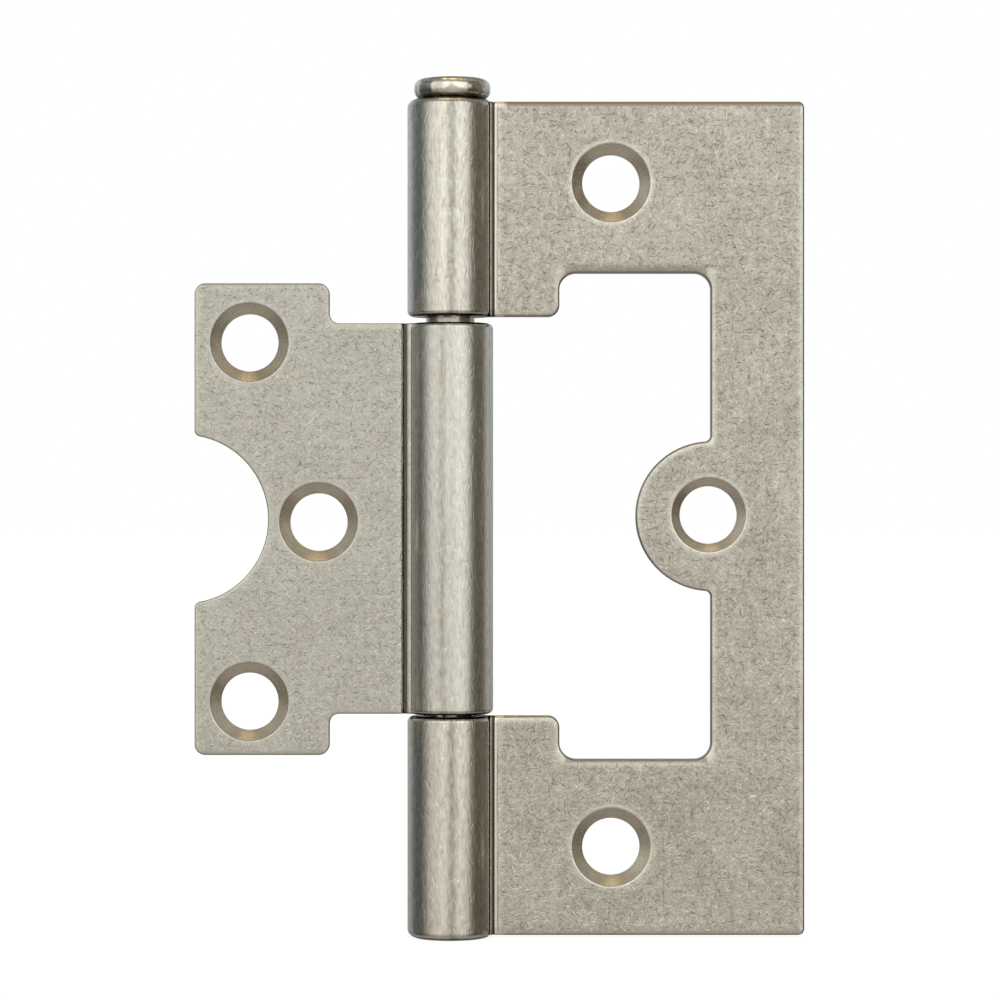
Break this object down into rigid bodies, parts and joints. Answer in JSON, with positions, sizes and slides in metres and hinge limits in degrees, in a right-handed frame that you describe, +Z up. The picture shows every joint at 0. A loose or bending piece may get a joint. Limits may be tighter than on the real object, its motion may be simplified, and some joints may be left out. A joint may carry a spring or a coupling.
{
  "type": "flush hinge",
  "caption": "Flush door hinge in tumbled nickel, opened flat: a frame leaf with a window and a round lobe, a notched door leaf that nests in it, rolled knuckles and a headed pin.",
  "frame": {"origin": "midway between the frame leaf's two outer screw holes, on the leaf's back face", "axes": "+X across the hinge from the door leaf to the frame leaf, +Y from the countersunk front faces to the backs that lie on the wood, +Z up along the pin towards its head"},
  "size_m": [0.0733, 0.0102, 0.1032],
  "materials": {
    "nickel": "tumbled nickel plate on steel"
  },
  "bodies": {
    "frame": {"frame_leaf": "nickel", "hinge_pin": "nickel"},
    "door": {"door_leaf": "nickel"}
  },
  "joints": [
    {"name": "door_turn", "type": "hinge", "parent": "frame", "child": "door", "pos_m": [-0.0193, -0.0011, -0.0004], "axis": [0, 0, 1], "continuous": true}
  ]
}
